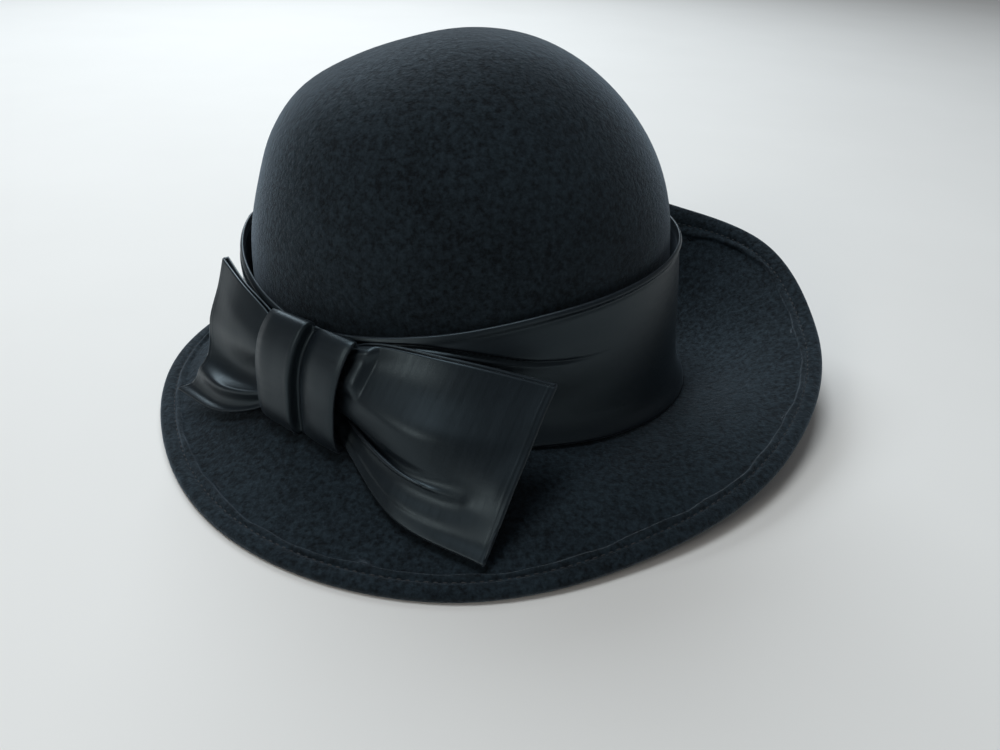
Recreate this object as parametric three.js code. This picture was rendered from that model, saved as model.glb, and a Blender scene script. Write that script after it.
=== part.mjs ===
// A woman's felt cloche: one blocked felt body with a rounded crown and an uneven brim that lies low at the front
// left and turns up at the back right, a wide satin band, and a flat satin bow of two looped wings and a
// pleated knot. Millimetres, +Z up, the hat resting on z = 0 as it would by itself. +X points to the hat's turned-up
// back, -Y to the side that carries the bow.
import * as THREE from "three";

// Felt body
const feltWall = 2.3;
const crownTop = 167;
const rootCentreHeight = 11.5;
const rootTilt = 9.6;
const rootTiltBearing = 45;
const rootFillet = 6;
const hemWidth = 9.5;
const hemRise = 1.8;
const hemStep = 1;
const hemEdgeRound = 0.9;
const averageBrimRun = 66;
const floorPress = 0.6;
const aroundSteps = 54;
const crownSteps = 13;
const filletSteps = 3;
const brimSteps = 8;

// Satin
const bandWall = 1.2;
const wingWall = 1.0;
const knotWall = 1.2;
const bandLift = 1.4;

// Crown sections from the brim break (rise 0) to just under the tip. Lean moves a section along X.
const crownSections = [
  { rise: 0.0, halfLength: 104, halfWidth: 86, lean: 0 },
  { rise: 0.2, halfLength: 103.5, halfWidth: 85, lean: -2.5 },
  { rise: 0.4, halfLength: 101, halfWidth: 82.5, lean: -3.5 },
  { rise: 0.57, halfLength: 95.5, halfWidth: 77.5, lean: -2.5 },
  { rise: 0.71, halfLength: 86.5, halfWidth: 69.5, lean: -3 },
  { rise: 0.83, halfLength: 71.5, halfWidth: 57, lean: -3 },
  { rise: 0.92, halfLength: 50, halfWidth: 41, lean: 0 },
  { rise: 0.975, halfLength: 27, halfWidth: 24, lean: 3 },
  { rise: 1.0, halfLength: 0, halfWidth: 0, lean: 4 },
];

// Brim by bearing round the crown, counter-clockwise from +X. Reach is the rim's distance from the crown axis,
// lift the underside of the rim above the floor. The slopes are those of the felt where it leaves the crown and
// at the rim, in degrees, up positive.
const brimSections = [
  { bearing: -180, reach: 153.5, lift: 0, rootSlope: -16, rimSlope: -4 },
  { bearing: -150, reach: 156, lift: 0, rootSlope: -16, rimSlope: -3 },
  { bearing: -120, reach: 162.5, lift: 0, rootSlope: -12, rimSlope: -8 },
  { bearing: -90, reach: 164.5, lift: 0, rootSlope: -10, rimSlope: -12 },
  { bearing: -60, reach: 161.5, lift: 3, rootSlope: -10, rimSlope: -22 },
  { bearing: -30, reach: 170, lift: 12, rootSlope: -6, rimSlope: -16 },
  { bearing: 0, reach: 181.5, lift: 29, rootSlope: -9, rimSlope: 12 },
  { bearing: 20, reach: 177, lift: 50, rootSlope: -13, rimSlope: 28 },
  { bearing: 40, reach: 151, lift: 58, rootSlope: -18, rimSlope: 46 },
  { bearing: 70, reach: 138, lift: 60, rootSlope: -20, rimSlope: 52 },
  { bearing: 100, reach: 134, lift: 50, rootSlope: -18, rimSlope: 46 },
  { bearing: 130, reach: 138, lift: 22, rootSlope: -12, rimSlope: 20 },
  { bearing: 155, reach: 144, lift: 4, rootSlope: -14, rimSlope: -2 },
];

// Satin band: height of its top edge by bearing, lowest where the bow gathers it.
const bandTops = [
  { bearing: -180, height: 78 },
  { bearing: -155, height: 70 },
  { bearing: -125, height: 60.5 },
  { bearing: -95, height: 66 },
  { bearing: -60, height: 77 },
  { bearing: -15, height: 83 },
  { bearing: 45, height: 82 },
  { bearing: 90, height: 80 },
  { bearing: 135, height: 79 },
];

// Satin band section: share of its height above the brim, and its distance from the felt.
const bandSection = [
  { share: 1.0, off: 4.6 },
  { share: 0.9, off: 4.2 },
  { share: 0.6, off: 4.6 },
  { share: 0.3, off: 5.2 },
  { share: 0.14, off: 6.2 },
  { share: 0.0, off: 8.8 },
];

// The bow stands on the crown at this bearing. Its own axes: along the wall, out from it, and up.
const bowAnchor = new THREE.Vector3(-58, -71.4, 0);
const bowTurn = -32.4;

// Wing folds from the top edge to the bottom edge: [along, out, up] where the fold leaves the knot, at mid
// length and at the outer edge, then how far out the plain back layer lies at the knot and at mid length.
const rightWingFolds = [
  { fold: "top edge", root: [27, 4.6, 62], mid: [63, -6, 63], tip: [99, -26, 55], backRoot: 2.2, backMid: -8.4 },
  { fold: "recess", root: [26, 6.5, 56], mid: [63, 2, 54], tip: [100, -15.5, 47.5], backRoot: 2.2, backMid: -4 },
  { fold: "bulge", root: [25, 15, 45], mid: [64, 16, 42], tip: [101.5, -4, 38], backRoot: 3, backMid: 5 },
  { fold: "bulge foot", root: [25, 17, 36], mid: [64, 22, 32], tip: [103, 8, 29], backRoot: 4, backMid: 12 },
  { fold: "valley", root: [26, 11, 28], mid: [63, 20, 24], tip: [104, 17, 20.5], backRoot: 6, backMid: 15.5 },
  { fold: "lower ridge", root: [26, 17, 23.5], mid: [65, 31, 18], tip: [105, 24, 14.5], backRoot: 13, backMid: 26 },
  { fold: "bottom edge", root: [26.5, 19, 20.8], mid: [66, 34, 13], tip: [105.5, 30, 9],
    backRoot: 16.7, backMid: 31.7 },
];
const leftWingFolds = [
  { fold: "top edge", root: [-23, 7.8, 60], mid: [-45.5, 2.4, 66], tip: [-70.5, -7.5, 68],
    backRoot: 5.9, backMid: -0.6 },
  { fold: "upper", root: [-23, 11.5, 54], mid: [-45, 7.5, 57], tip: [-68.5, -1.5, 58], backRoot: 6.6, backMid: 0 },
  { fold: "middle", root: [-22.5, 15, 45], mid: [-43.5, 13, 46], tip: [-66.5, 7.5, 45], backRoot: 7, backMid: 2 },
  { fold: "valley", root: [-21.5, 14.5, 35], mid: [-41, 15, 31], tip: [-64.5, 12.5, 33], backRoot: 8, backMid: 7 },
  { fold: "lower", root: [-20.5, 17, 28], mid: [-41, 19.5, 22.5], tip: [-64, 17, 24], backRoot: 10.5, backMid: 12.5 },
  { fold: "flare", root: [-20.5, 20, 24], mid: [-41, 25, 17.5], tip: [-68, 22, 16], backRoot: 15, backMid: 20 },
  { fold: "bottom edge", root: [-20.5, 21.8, 21.8], mid: [-41.3, 29, 15], tip: [-74.5, 26.5, 11.8],
    backRoot: 19.4, backMid: 26.6 },
];
// Inside the knot each wing is drawn together to this share of its height, about this height.
const gatherAlong = 12;
const gatherShare = 0.55;
const gatherOut = 12;
const gatherUp = 41;
const wingFoldDepth = 2.2;
const wingAcrossSteps = 12;
const wingAlongSteps = 8;

// Knot strap stations from the tuck behind its top to the tuck under its foot.
const knotStations = [
  { left: -18, right: 26, out: 7.2, up: 63.2, tuck: 0 },
  { left: -19.5, right: 27, out: 8.4, up: 65.8, tuck: 0.4 },
  { left: -20.5, right: 27, out: 11, up: 64.8, tuck: 1 },
  { left: -22, right: 26, out: 16.5, up: 57, tuck: 1 },
  { left: -22, right: 25, out: 20.5, up: 46, tuck: 1 },
  { left: -21, right: 25, out: 22.5, up: 35, tuck: 1 },
  { left: -19.5, right: 26, out: 24, up: 25, tuck: 1 },
  { left: -18, right: 27, out: 23, up: 19.4, tuck: 0.4 },
  { left: -17, right: 26, out: 17.5, up: 18.4, tuck: 0 },
];
// Pleat across the strap: share of its width from the left, and how far the satin stands out there.
const knotPleat = [
  { share: 0.0, rise: -0.9 },
  { share: 0.1, rise: 0.7 },
  { share: 0.3, rise: 1.5 },
  { share: 0.48, rise: 1.7 },
  { share: 0.54, rise: 0.4 },
  { share: 0.58, rise: -1.5 },
  { share: 0.66, rise: -0.4 },
  { share: 0.82, rise: 0.5 },
  { share: 0.94, rise: 0.1 },
  { share: 1.0, rise: -0.9 },
];
const knotAlongSteps = 16;

// Smooth curve through the rows of a table, read at one position.
function follow(stops, values, at) {
  const last = stops.length - 1;
  let k = 1;
  while (k < last && at > stops[k]) {
    k += 1;
  }
  const slope = (i) => {
    const before = Math.max(i - 1, 0);
    const after = Math.min(i + 1, last);
    return (values[after] - values[before]) / (stops[after] - stops[before]);
  };
  const span = stops[k] - stops[k - 1];
  const t = (at - stops[k - 1]) / span;
  const startShape = (1 + 2 * t) * (1 - t) ** 2;
  const startBend = t * (1 - t) ** 2 * span;
  const endShape = t ** 2 * (3 - 2 * t);
  const endBend = t ** 2 * (t - 1) * span;
  return startShape * values[k - 1] + startBend * slope(k - 1) + endShape * values[k] + endBend * slope(k);
}

// The same for a table that runs once round the hat.
function followRound(rows, column, bearing) {
  const first = rows[0];
  const last = rows[rows.length - 1];
  const stops = [last.bearing - 360, ...rows.map((row) => row.bearing), first.bearing + 360];
  const values = [last[column], ...rows.map((row) => row[column]), first[column]];
  const turns = Math.floor((bearing - first.bearing) / 360);
  return follow(stops, values, bearing - turns * 360);
}

const degrees = THREE.MathUtils.radToDeg;
const radians = THREE.MathUtils.degToRad;

function rootHeight(bearing) {
  return rootCentreHeight - rootTilt * Math.cos(radians(bearing - rootTiltBearing));
}

// Outside of the crown at a share of the rise from the break to the tip.
function crownPoint(around, rise) {
  const stops = crownSections.map((row) => 1 - Math.sqrt(1 - row.rise));
  const at = 1 - Math.sqrt(1 - rise);
  const read = (column) => follow(stops, crownSections.map((row) => row[column]), at);
  const base = rootHeight(degrees(around));
  return new THREE.Vector3(
    read("halfLength") * Math.cos(around) + read("lean"),
    read("halfWidth") * Math.sin(around),
    base + (crownTop - base) * rise,
  );
}

function wallOutward(around) {
  const { halfLength, halfWidth } = crownSections[0];
  return new THREE.Vector3(Math.cos(around) / halfLength, Math.sin(around) / halfWidth, 0).normalize();
}

// Brim from the crown fillet to the rim along one bearing: the upper side of the single felt.
function brimPoint(around, share) {
  const outward = wallOutward(around);
  const start = crownPoint(around, 0).addScaledVector(outward, rootFillet);
  const bearing = degrees(Math.atan2(start.y, start.x));
  const read = (column) => followRound(brimSections, column, bearing);
  const direction = new THREE.Vector3(start.x, start.y, 0).normalize();
  const run = read("reach") - Math.hypot(start.x, start.y);
  const rimHeight = Math.max(read("lift"), 0) + feltWall - floorPress;
  const rootFall = Math.tan(radians(read("rootSlope")));
  const rimFall = Math.tan(radians(read("rimSlope")));
  const height = follow([0, 1], [start.z, rimHeight], share);
  const straight = rimHeight - start.z;
  const bend = share * (1 - share) * ((1 - share) * (rootFall * run - straight) - share * (rimFall * run - straight));
  return start.addScaledVector(direction, run * share).setZ(height + bend);
}

// A closed solid from a grid of points: pushed out by rise and in by drop along the grid's own normal.
function sheetSolid(grid, rise, drop, { wrap, pole, floor }) {
  const rows = grid.length;
  const columns = grid[0].length;
  const positions = [];
  const place = (point) => positions.push(point.x, point.y, floor ? Math.max(point.z, 0) : point.z);
  const sides = [1, -1];
  for (const side of sides) {
    for (let i = 0; i < rows; i += 1) {
      for (let j = 0; j < columns; j += 1) {
        const up = grid[Math.max(i - 1, 0)][j];
        const down = grid[Math.min(i + 1, rows - 1)][j];
        const back = grid[i][wrap ? (j + columns - 1) % columns : Math.max(j - 1, 0)];
        const next = grid[i][wrap ? (j + 1) % columns : Math.min(j + 1, columns - 1)];
        const normal = down.clone().sub(up).cross(next.clone().sub(back));
        if (pole && i === 0) {
          normal.set(0, 0, 1);
        }
        const push = side > 0 ? rise(i) : -drop(i);
        place(grid[i][j].clone().addScaledVector(normal.normalize(), push));
      }
    }
  }
  const outer = (i, j) => (pole && i === 0 ? 0 : i * columns + (j % columns));
  const inner = (i, j) => rows * columns + outer(i, j);
  const faces = [];
  const triangle = (a, b, c) => {
    if (a !== b && b !== c && c !== a) {
      faces.push(a, b, c);
    }
  };
  const quad = (a, b, c, d) => {
    triangle(a, b, c);
    triangle(a, c, d);
  };
  const spans = wrap ? columns : columns - 1;
  for (let i = 0; i < rows - 1; i += 1) {
    for (let j = 0; j < spans; j += 1) {
      quad(outer(i, j), outer(i + 1, j), outer(i + 1, j + 1), outer(i, j + 1));
      quad(inner(i, j), inner(i, j + 1), inner(i + 1, j + 1), inner(i + 1, j));
    }
  }
  for (let j = 0; j < spans; j += 1) {
    if (!pole) {
      quad(outer(0, j), outer(0, j + 1), inner(0, j + 1), inner(0, j));
    }
    quad(outer(rows - 1, j), inner(rows - 1, j), inner(rows - 1, j + 1), outer(rows - 1, j + 1));
  }
  if (!wrap) {
    for (let i = 0; i < rows - 1; i += 1) {
      quad(outer(i, 0), inner(i, 0), inner(i + 1, 0), outer(i + 1, 0));
      quad(outer(i, columns - 1), outer(i + 1, columns - 1), inner(i + 1, columns - 1), inner(i, columns - 1));
    }
  }
  return compact(positions, faces);
}

// Drops the points that no face uses.
function compact(positions, faces) {
  const kept = new Map();
  const points = [];
  const index = faces.map((old) => {
    if (!kept.has(old)) {
      kept.set(old, kept.size);
      points.push(...positions.slice(3 * old, 3 * old + 3));
    }
    return kept.get(old);
  });
  const geometry = new THREE.BufferGeometry();
  geometry.setAttribute("position", new THREE.Float32BufferAttribute(points, 3));
  geometry.setIndex(index);
  geometry.computeVertexNormals();
  return geometry;
}

const bearings = Array.from({ length: aroundSteps }, (_, j) => -Math.PI + (2 * Math.PI * j) / aroundSteps);

// Felt body: one grid from the tip of the crown down the wall, round the fillet and out to the rim.
function feltBody() {
  const grid = [];
  const rises = [];
  const filletRise = rootFillet / crownTop;
  for (let i = 0; i <= crownSteps; i += 1) {
    const along = i / crownSteps;
    const rise = 1 - (1 - filletRise) * along ** 2;
    grid.push(bearings.map((around) => crownPoint(around, rise)));
    rises.push(0);
  }
  for (let i = 1; i <= filletSteps; i += 1) {
    const turn = (i / (filletSteps + 1)) * (Math.PI / 2);
    const out = rootFillet * (1 - Math.cos(turn));
    const rise = (rootFillet * (1 - Math.sin(turn))) / crownTop;
    grid.push(bearings.map((around) => crownPoint(around, rise).addScaledVector(wallOutward(around), out)));
    rises.push(0);
  }
  const brimShares = [];
  for (let i = 0; i < brimSteps; i += 1) {
    brimShares.push([(i / (brimSteps - 1)) * (1 - hemInsetShare(hemWidth + hemStep)), 0]);
  }
  brimShares.push([1 - hemInsetShare(hemWidth), hemRise]);
  brimShares.push([1 - hemInsetShare(hemWidth / 2), hemRise]);
  brimShares.push([1 - hemInsetShare(hemEdgeRound), hemRise]);
  brimShares.push([1, hemRise - hemEdgeRound]);
  for (const [share, rise] of brimShares) {
    grid.push(bearings.map((around) => brimPoint(around, share)));
    rises.push(rise);
  }
  return sheetSolid(grid, (i) => rises[i], () => feltWall, { wrap: true, pole: true, floor: true });
}

// Share of an average brim run that a distance in from the rim takes up.
function hemInsetShare(inset) {
  return inset / averageBrimRun;
}

// Satin band: the ring that wraps the crown wall and spreads over the root of the brim.
function satinBand() {
  const grid = bandSection.map(({ share, off }) =>
    bearings.map((around) => {
      const base = rootHeight(degrees(around));
      const top = followRound(bandTops, "height", degrees(around));
      const height = base + bandLift + (top - base - bandLift) * share;
      const rise = (height - base) / (crownTop - base);
      return crownPoint(around, rise).addScaledVector(wallOutward(around), off);
    }),
  );
  return sheetSolid(grid, () => 0, () => bandWall, { wrap: true, pole: false, floor: false });
}

const bowAlong = new THREE.Vector3(Math.cos(radians(bowTurn)), Math.sin(radians(bowTurn)), 0);
const bowOut = new THREE.Vector3(Math.sin(radians(bowTurn)), -Math.cos(radians(bowTurn)), 0);

function onBow(along, out, up) {
  return bowAnchor.clone().addScaledVector(bowAlong, along).addScaledVector(bowOut, out).setZ(up);
}

// One wing: satin that runs out from the knot, folds over at the outer edge and comes back behind itself.
function bowWing(folds, direction) {
  const across = (read) => new THREE.CatmullRomCurve3(folds.map((row) => onBow(...read(row))));
  const gather = ([along, , up], out) => [
    direction * gatherAlong,
    gatherOut + (out - gatherOut) * gatherShare,
    gatherUp + (up - gatherUp) * gatherShare,
  ];
  const lines = [
    across((row) => gather(row.root, row.root[1])),
    across((row) => row.root),
    across((row) => row.mid),
    across((row) => row.tip),
    across((row) => [row.tip[0] - direction * wingWall, row.tip[1] - wingFoldDepth, row.tip[2]]),
    across((row) => [row.mid[0], row.backMid, row.mid[2]]),
    across((row) => [row.root[0], row.backRoot, row.root[2]]),
    across((row) => gather(row.root, row.backRoot)),
  ];
  const stations = [];
  for (let j = 0; j <= wingAcrossSteps; j += 1) {
    const v = j / wingAcrossSteps;
    const front = new THREE.CatmullRomCurve3(lines.slice(0, 4).map((line) => line.getPoint(v)));
    const back = new THREE.CatmullRomCurve3(lines.slice(4).map((line) => line.getPoint(v)));
    stations.push([...front.getPoints(wingAlongSteps), ...back.getPoints(wingAlongSteps)]);
  }
  const grid = stations[0].map((_, i) => stations.map((station) => station[i]));
  if (direction < 0) {
    grid.forEach((row) => row.reverse());
  }
  return sheetSolid(grid, () => wingWall / 2, () => wingWall / 2, { wrap: false, pole: false, floor: false });
}

// Knot: a strap with one pleat down its length, tucked in behind its top and under its foot.
function bowKnot() {
  const shares = knotPleat.map((row) => row.share);
  const rises = knotPleat.map((row) => row.rise);
  const middle = new THREE.CatmullRomCurve3(
    knotStations.map((row) => new THREE.Vector3((row.left + row.right) / 2, row.out, row.up)),
  );
  const size = new THREE.CatmullRomCurve3(
    knotStations.map((row) => new THREE.Vector3(row.right - row.left, row.tuck, 0)),
  );
  const grid = [];
  for (let i = 0; i <= knotAlongSteps; i += 1) {
    const t = i / knotAlongSteps;
    const centre = middle.getPoint(t);
    const width = size.getPoint(t).x;
    const pleat = size.getPoint(t).y;
    const heading = middle.getTangent(t);
    const row = shares.map((share, k) => {
      const lift = rises[k] * pleat;
      const along = centre.x + (share - 0.5) * width;
      return onBow(along, centre.y - heading.z * lift, centre.z + heading.y * lift);
    });
    grid.push(row);
  }
  return sheetSolid(grid, () => 0, () => knotWall, { wrap: false, pole: false, floor: false });
}

const felt = { color: 0x101216, roughness: 0.95, metalness: 0 };
const satin = { color: 0x15181f, roughness: 0.4, metalness: 0 };
const pieces = [
  { name: "felt_body", geometry: feltBody(), finish: felt },
  { name: "satin_band", geometry: satinBand(), finish: satin },
  { name: "bow_wing_right", geometry: bowWing(rightWingFolds, 1), finish: satin },
  { name: "bow_wing_left", geometry: bowWing(leftWingFolds, -1), finish: satin },
  { name: "bow_knot", geometry: bowKnot(), finish: satin },
];

// The origin is the middle of the brim's outline on the surface the hat rests on.
const outline = new THREE.Box3().setFromBufferAttribute(pieces[0].geometry.getAttribute("position"));
const middle = outline.getCenter(new THREE.Vector3());

const hat = new THREE.Group();
hat.name = "felt_cloche_hat";
for (const { name, geometry, finish } of pieces) {
  geometry.translate(-middle.x, -middle.y, 0);
  const mesh = new THREE.Mesh(geometry, new THREE.MeshStandardMaterial(finish));
  mesh.name = name;
  hat.add(mesh);
}

export default hat;
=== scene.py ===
# %% [markdown]
# # A felt cloche hat with a satin bow
# This lesson dresses a packed hat model in its real materials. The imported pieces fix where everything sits:
# one blocked felt body, a wide satin band round the crown, and a flat satin bow of two looped wings and a
# pleated knot. Each piece below is made again with enough points to carry its hem, folds and weave, and it
# stands in the place of the plain piece it replaces.

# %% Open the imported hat
import math

import bpy
import numpy as np
from mathutils import Matrix


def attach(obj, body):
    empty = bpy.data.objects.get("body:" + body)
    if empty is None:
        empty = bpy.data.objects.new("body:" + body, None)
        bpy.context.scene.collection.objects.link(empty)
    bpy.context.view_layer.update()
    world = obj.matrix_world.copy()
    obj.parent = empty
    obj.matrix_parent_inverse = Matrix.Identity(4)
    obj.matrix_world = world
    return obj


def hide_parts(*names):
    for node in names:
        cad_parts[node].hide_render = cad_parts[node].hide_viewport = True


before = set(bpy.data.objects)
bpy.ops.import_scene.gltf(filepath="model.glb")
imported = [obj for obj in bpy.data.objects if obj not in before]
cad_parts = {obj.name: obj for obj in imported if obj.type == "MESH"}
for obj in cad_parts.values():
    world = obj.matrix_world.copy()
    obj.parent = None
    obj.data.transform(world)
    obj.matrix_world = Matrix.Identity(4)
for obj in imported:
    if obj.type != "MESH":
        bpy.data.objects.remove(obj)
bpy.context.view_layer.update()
MM = 0.001
print("packed pieces:", sorted(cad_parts))

# %% [markdown]
# ## Where the camera stands
# The hat is seen from its bow side and from above, as by someone who kneels in front of it. A camera can be
# aimed with angles or given its three own directions. The directions are used here, because they hold the
# small roll of a hand-held view without any turning order to get wrong.

# %% Camera
camera_data = bpy.data.cameras.new("kneeling_view")
camera_data.sensor_width = 36.0
camera_data.lens = 27.07
camera_data.clip_start = 0.01
camera_data.clip_end = 20.0
camera = bpy.data.objects.new("kneeling_view", camera_data)
bpy.context.collection.objects.link(camera)
camera_right = (0.9989, 0.0259, 0.0396)
camera_up = (-0.0473, 0.5465, 0.8362)
camera_back = (0.0, -0.8371, 0.5471)
camera_place = (0.0034, -0.3320, 0.2190)
axes = zip(camera_right, camera_up, camera_back, camera_place)
camera.matrix_world = Matrix([list(row) for row in axes] + [[0, 0, 0, 1]])
bpy.context.scene.camera = camera
print("camera stands", round(camera_place[2] / MM), "mm above the floor")

# %% [markdown]
# ## Smooth lines through a few sizes
# A hat block or a ribbon fold is fully described by a few sections, with smooth cloth between them. Each size
# stands in a short table with named columns, and two helpers run a smooth line through its rows: one through
# single numbers, open or once round the hat, and one through points in space.

# %% Smooth lines
def table(columns, rows):
    """A short table, read by column name."""
    return dict(zip(columns.split(), np.array(rows, dtype=float).T))


def follow(stops, values, at):
    """A smooth curve through the values, read at one or many positions."""
    last = len(stops) - 1
    after = np.minimum(np.arange(last + 1) + 1, last)
    before = np.maximum(np.arange(last + 1) - 1, 0)
    slopes = (values[after] - values[before]) / (stops[after] - stops[before])
    k = np.clip(np.searchsorted(stops, at, side="left"), 1, last)
    span = stops[k] - stops[k - 1]
    t = (at - stops[k - 1]) / span
    start = (1 + 2 * t) * (1 - t) ** 2 * values[k - 1] + t * (1 - t) ** 2 * span * slopes[k - 1]
    end = t**2 * (3 - 2 * t) * values[k] + t**2 * (t - 1) * span * slopes[k]
    return start + end


def follow_round(rows, column, bearing):
    """The same, for a table whose first column is a bearing and that closes on itself."""
    stops, values = rows["bearing"], rows[column]
    stops = np.concatenate(([stops[-1] - 360], stops, [stops[0] + 360]))
    values = np.concatenate((values[-1:], values, values[:1]))
    turned = (bearing - rows["bearing"][0]) % 360 + rows["bearing"][0]
    return follow(stops, values, turned)


def through(points, count):
    """Points along a smooth line through a few points in space: a number of them spread evenly, knot by
    knot, or one for each share of the way in a list."""
    points = np.asarray(points, dtype=float)
    shares = np.linspace(0, 1, count) if isinstance(count, int) else np.asarray(count)
    ends = (2 * points[:1] - points[1:2], points, 2 * points[-1:] - points[-2:-1])
    held = np.concatenate(ends)
    line = []
    for at in shares * (len(points) - 1):
        k = min(int(at), len(points) - 2)
        w = at - k
        p0, p1, p2, p3 = held[k : k + 4]
        gaps = [max(math.sqrt(np.linalg.norm(b - a)), 1e-4) for a, b in ((p0, p1), (p1, p2), (p2, p3))]
        g0, g1, g2 = gaps
        leave = ((p1 - p0) / g0 - (p2 - p0) / (g0 + g1) + (p2 - p1) / g1) * g1
        arrive = ((p2 - p1) / g1 - (p3 - p1) / (g1 + g2) + (p3 - p2) / g2) * g1
        bend = (-3 * p1 + 3 * p2 - 2 * leave - arrive) * w**2
        line.append(p1 + leave * w + bend + (2 * p1 - 2 * p2 + leave + arrive) * w**3)
    return np.array(line)


def ease(low, high, value):
    """0 below low, 1 above high, and a smooth step between them."""
    t = np.clip((value - low) / (high - low), 0, 1)
    return t * t * (3 - 2 * t)


def unit(vectors):
    length = np.linalg.norm(vectors, axis=-1, keepdims=True)
    return vectors / np.maximum(length, 1e-9)


# %% [markdown]
# ## From a grid of points to cloth
# Felt and ribbon are sheets, so every piece starts as a grid of points on one of its faces. The grid's own
# normals push out the second face, and a lip of points half a wall further out rounds the edge, as a turned
# or cut edge of real cloth is round. A UV map in real metres goes with the grid, so that a weave can follow
# the cloth and keep its size.

# %% Grid helpers
def grid_normals(grid, wrap):
    """Normals of a grid of points. Rows run down the piece, and columns run along or round it."""
    down = np.gradient(grid, axis=0)
    if wrap:
        along = np.roll(grid, -1, axis=1) - np.roll(grid, 1, axis=1)
    else:
        along = np.gradient(grid, axis=1)
    return unit(np.cross(down, along))


def metric_uv(grid):
    """Distance along and across the cloth, in metres, for each point of its grid."""
    across = np.linalg.norm(np.diff(grid, axis=0), axis=2).mean(axis=1)
    along = np.linalg.norm(np.diff(grid, axis=1), axis=2).mean(axis=0)
    v = np.concatenate(([0], np.cumsum(across)))
    u = np.concatenate(([0], np.cumsum(along)))
    return np.stack(np.meshgrid(u, v), axis=-1) * MM


def closed_piece(name, points, faces, uvs, finish):
    """A named piece from points in millimetres about the crown's axis, its faces turned outwards."""
    points = (np.asarray(points) + crown_axis) * MM
    volume = 0.0
    for face in faces:
        a = points[face[0]]
        for b, c in zip(face[1:-1], face[2:]):
            volume += np.dot(a, np.cross(points[b], points[c])) / 6
    if volume < 0:
        faces = [tuple(reversed(face)) for face in faces]
    mesh = bpy.data.meshes.new(name)
    mesh.from_pydata(points.tolist(), [], [tuple(face) for face in faces])
    mesh.validate()
    layer = mesh.uv_layers.new(name="cloth")
    corner_points = np.empty(len(mesh.loops), dtype=int)
    mesh.loops.foreach_get("vertex_index", corner_points)
    layer.data.foreach_set("uv", np.asarray(uvs)[corner_points].astype(np.float32).ravel())
    mesh.shade_smooth()
    mesh.materials.append(finish)
    piece = bpy.data.objects.new(name, mesh)
    bpy.context.collection.objects.link(piece)
    mesh.calc_loop_triangles()
    print(f"{name}: {len(mesh.loop_triangles)} triangles, {abs(volume) * 1e6:.1f} cubic cm of cloth")
    return piece


def cloth_piece(name, grid, rise, drop, wrap, finish):
    """Cloth of its own thickness round a grid: two faces and a rounded lip along every open edge."""
    rows, columns, _ = grid.shape
    normals = grid_normals(grid, wrap)
    top, under = grid + normals * rise, grid - normals * drop
    middle = (top + under) / 2
    half = (rise + drop) / 2
    points = list(top.reshape(-1, 3)) + list(under.reshape(-1, 3))
    uv = metric_uv(grid).reshape(-1, 2)
    uvs = list(uv) + list(uv)
    back = rows * columns
    spans = columns if wrap else columns - 1
    faces = []
    for i in range(rows - 1):
        for j in range(spans):
            a, b = i * columns + j, i * columns + (j + 1) % columns
            c, d = a + columns, b + columns
            faces.append((a, c, d, b))
            faces.append((back + a, back + b, back + d, back + c))
    first, last = [(0, j) for j in range(columns)], [(rows - 1, j) for j in range(columns)]
    if wrap:
        borders = [(first, (1, 0), -1), (last, (-1, 0), 1)]
    else:
        sides = [(i, columns - 1) for i in range(1, rows - 1)], [(i, 0) for i in range(1, rows - 1)]
        loop = first + sides[0] + last[::-1] + sides[1][::-1]
        borders = [(loop, None, -1)]
    for border, step, turn in borders:
        start = len(points)
        for i, j in border:
            di = step[0] if step else int(i == 0) - int(i == rows - 1)
            dj = 0 if step else int(j == 0) - int(j == columns - 1)
            outward = unit(middle[i, j] - middle[i + di, j + dj])
            points.append(middle[i, j] + outward * half)
            uvs.append(uv[i * columns + j])
        count = len(border)
        for k in range(count):
            i, j = border[k]
            m, n = border[(k + 1) % count]
            a, b = i * columns + j, m * columns + n
            p, q = start + k, start + (k + 1) % count
            upper, lower = (a, b, q, p), (p, q, back + b, back + a)
            faces.append(upper if turn < 0 else upper[::-1])
            faces.append(lower if turn < 0 else lower[::-1])
    return closed_piece(name, points, faces, uvs, finish)


# %% [markdown]
# ## Shared shader effects
# Both cloths are black, so it is the small differences that tell them apart: wool felt scatters light in
# every fibre, and satin is smooth along its floats. Two node groups carry what repeats, fibres and weave, and
# a third is a painted highlight: it finds sharp edges and fold crests and marks them to be coloured lighter,
# where light would catch them. They put out masks and heights only, and each material keeps its own
# shader, so that its sheen and gloss stay plain numbers.

# %% Group helpers
def new_group(name, inputs, outputs):
    """An empty shader group with named number or vector inputs and number outputs."""
    tree = bpy.data.node_groups.new(name, "ShaderNodeTree")
    for label, kind, value in inputs:
        socket = tree.interface.new_socket(label, in_out="INPUT", socket_type=kind)
        if value is not None:
            socket.default_value = value
    for label in outputs:
        tree.interface.new_socket(label, in_out="OUTPUT", socket_type="NodeSocketFloat")
    return tree, tree.nodes.new("NodeGroupInput"), tree.nodes.new("NodeGroupOutput")


def math_node(tree, operation, a, b=None):
    """One arithmetic step. Each side is a socket or a number."""
    node = tree.nodes.new("ShaderNodeMath")
    node.operation = operation
    for socket, value in zip(node.inputs, (a, b)):
        if value is None:
            continue
        if isinstance(value, (int, float)):
            socket.default_value = value
        else:
            tree.links.new(value, socket)
    return node.outputs[0]


def noise_node(tree, vector, scale, detail, roughness=0.55):
    node = tree.nodes.new("ShaderNodeTexNoise")
    node.inputs["Detail"].default_value = detail
    node.inputs["Roughness"].default_value = roughness
    tree.links.new(vector, node.inputs["Vector"])
    if isinstance(scale, (int, float)):
        node.inputs["Scale"].default_value = scale
    else:
        tree.links.new(scale, node.inputs["Scale"])
    return node.outputs["Fac"]


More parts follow.
